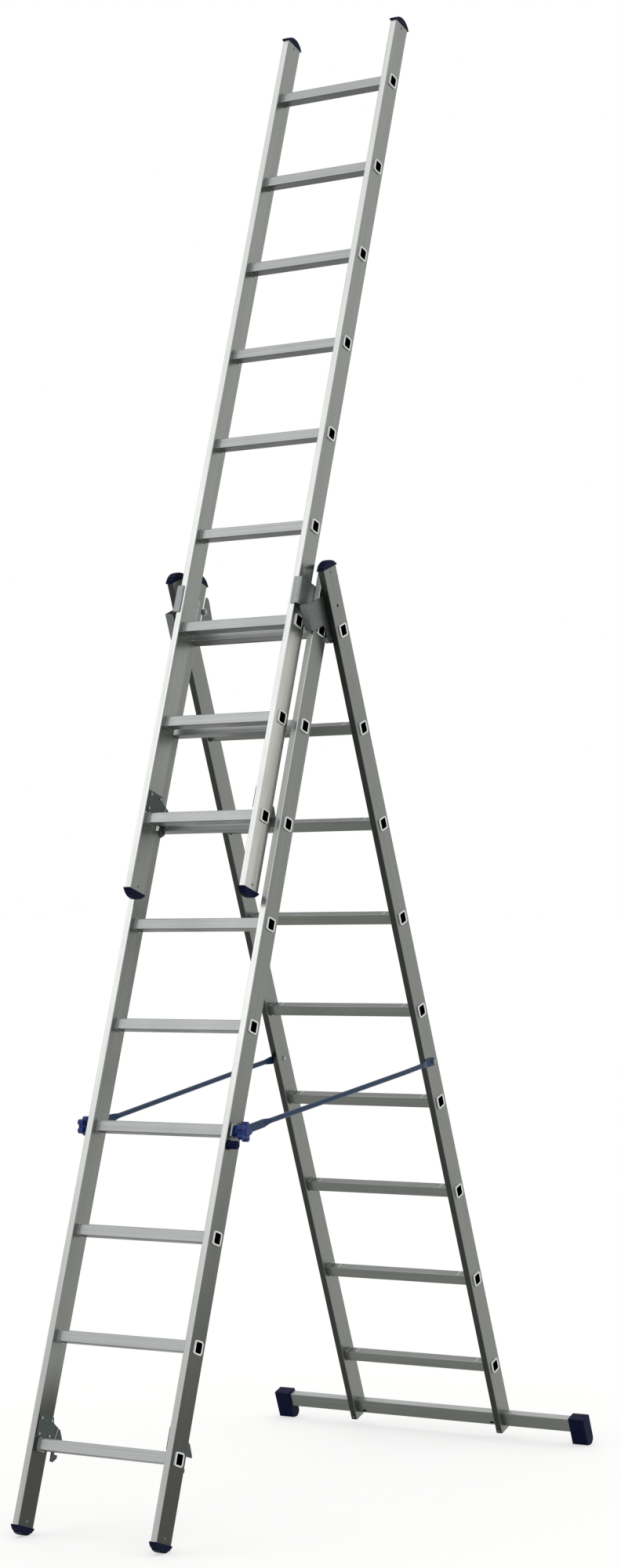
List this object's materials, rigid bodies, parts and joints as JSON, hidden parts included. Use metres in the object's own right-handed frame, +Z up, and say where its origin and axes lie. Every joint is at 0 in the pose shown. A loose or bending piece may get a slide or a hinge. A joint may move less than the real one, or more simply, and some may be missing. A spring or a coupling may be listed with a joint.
{
  "type": "extension ladder",
  "caption": "combination ladder with square rungs in box stiles, standing as an A-frame with its top section slid out, with hooks, struts, clamp knobs and a stabiliser bar",
  "frame": {"origin": "on the floor, under the middle of the box round the ladder as it stands open", "axes": "+X to the right of someone who climbs the middle section, +Y from the middle section to the rear one, +Z up"},
  "size_m": [1.062, 1.7586, 4.1348],
  "materials": {
    "aluminium": "mill-finish extruded aluminium, satin",
    "zinc_steel": "zinc-plated pressed steel",
    "blue_plastic": "moulded blue plastic, satin",
    "navy_plastic": "moulded navy plastic, satin",
    "blue_paint": "blue painted steel tube"
  },
  "bodies": {
    "rear": {"rear_stile_left": "aluminium", "rear_stile_right": "aluminium", "rear_rungs": "aluminium", "rear_top_caps": "blue_plastic", "stabiliser_bar": "aluminium", "stabiliser_shoes": "blue_plastic", "stabiliser_screws": "zinc_steel", "hinge_straps": "zinc_steel", "strap_bolts": "zinc_steel", "stop_bolts": "zinc_steel", "strut_bolts": "zinc_steel", "strut_washers": "zinc_steel"},
    "middle": {"middle_stile_left": "aluminium", "middle_stile_right": "aluminium", "middle_rungs": "aluminium", "middle_top_caps": "blue_plastic", "middle_feet": "blue_plastic", "middle_hooks": "zinc_steel", "middle_hook_rivets": "zinc_steel", "middle_latch_pins": "zinc_steel", "fly_guides": "zinc_steel", "guide_rivets": "zinc_steel", "hinge_ears": "zinc_steel", "hinge_ear_rivets": "zinc_steel", "hinge_pins": "zinc_steel", "knob_studs": "zinc_steel", "knob_hubs": "navy_plastic", "keeper_peg": "navy_plastic"},
    "fly": {"fly_stile_left": "aluminium", "fly_stile_right": "aluminium", "fly_rungs": "aluminium", "fly_top_caps": "blue_plastic", "fly_bottom_caps": "blue_plastic", "fly_hooks": "zinc_steel", "fly_hook_rivets": "zinc_steel", "fly_latch_pins": "zinc_steel"},
    "fly_latch_left": {"fly_latch_left": "zinc_steel"},
    "fly_latch_right": {"fly_latch_right": "zinc_steel"},
    "middle_latch_left": {"middle_latch_left": "zinc_steel"},
    "middle_latch_right": {"middle_latch_right": "zinc_steel"},
    "strut_left": {"strut_left": "blue_paint"},
    "strut_right": {"strut_right": "blue_paint"},
    "knob_left": {"knob_left": "navy_plastic"},
    "knob_right": {"knob_right": "navy_plastic"}
  },
  "joints": [
    {"name": "fold", "type": "hinge", "parent": "rear", "child": "middle", "pos_m": [0, 0.00352, 2.30779], "axis": [1, 0, 0], "range_deg": [0, 39]},
    {"name": "fly_slide", "type": "slide", "parent": "middle", "child": "fly", "axis": [0, 0.3338, 0.9426], "range_m": [-1.68, 0]},
    {"name": "strut_left_swing", "type": "hinge", "parent": "rear", "child": "strut_left", "pos_m": [-0.2635, 0.45872, 1.12722], "axis": [-1, 0, 0], "range_deg": [0, 60]},
    {"name": "knob_left_turn", "type": "hinge", "parent": "middle", "child": "knob_left", "pos_m": [-0.256, -0.49279, 1.01109], "axis": [1, 0, 0], "continuous": true},
    {"name": "strut_right_swing", "type": "hinge", "parent": "rear", "child": "strut_right", "pos_m": [0.2635, 0.45872, 1.12722], "axis": [-1, 0, 0], "range_deg": [0, 60]},
    {"name": "knob_right_turn", "type": "hinge", "parent": "middle", "child": "knob_right", "pos_m": [0.256, -0.49279, 1.01109], "axis": [1, 0, 0], "continuous": true},
    {"name": "fly_latch_left_swing", "type": "hinge", "parent": "fly", "child": "fly_latch_left", "pos_m": [-0.17, -0.23308, 1.8113], "axis": [-1, 0, 0], "range_deg": [0, 45], "stiffness_Nm_per_rad": 0.02, "springref_deg": -28.65},
    {"name": "fly_latch_right_swing", "type": "hinge", "parent": "fly", "child": "fly_latch_right", "pos_m": [0.17, -0.23308, 1.8113], "axis": [-1, 0, 0], "range_deg": [0, 45], "stiffness_Nm_per_rad": 0.02, "springref_deg": -28.65},
    {"name": "middle_latch_left_swing", "type": "hinge", "parent": "middle", "child": "middle_latch_left", "pos_m": [-0.201, -0.72789, 0.20429], "axis": [-1, 0, 0], "range_deg": [0, 45], "stiffness_Nm_per_rad": 0.02, "springref_deg": -28.65},
    {"name": "middle_latch_right_swing", "type": "hinge", "parent": "middle", "child": "middle_latch_right", "pos_m": [0.201, -0.72789, 0.20429], "axis": [-1, 0, 0], "range_deg": [0, 45], "stiffness_Nm_per_rad": 0.02, "springref_deg": -28.65}
  ]
}
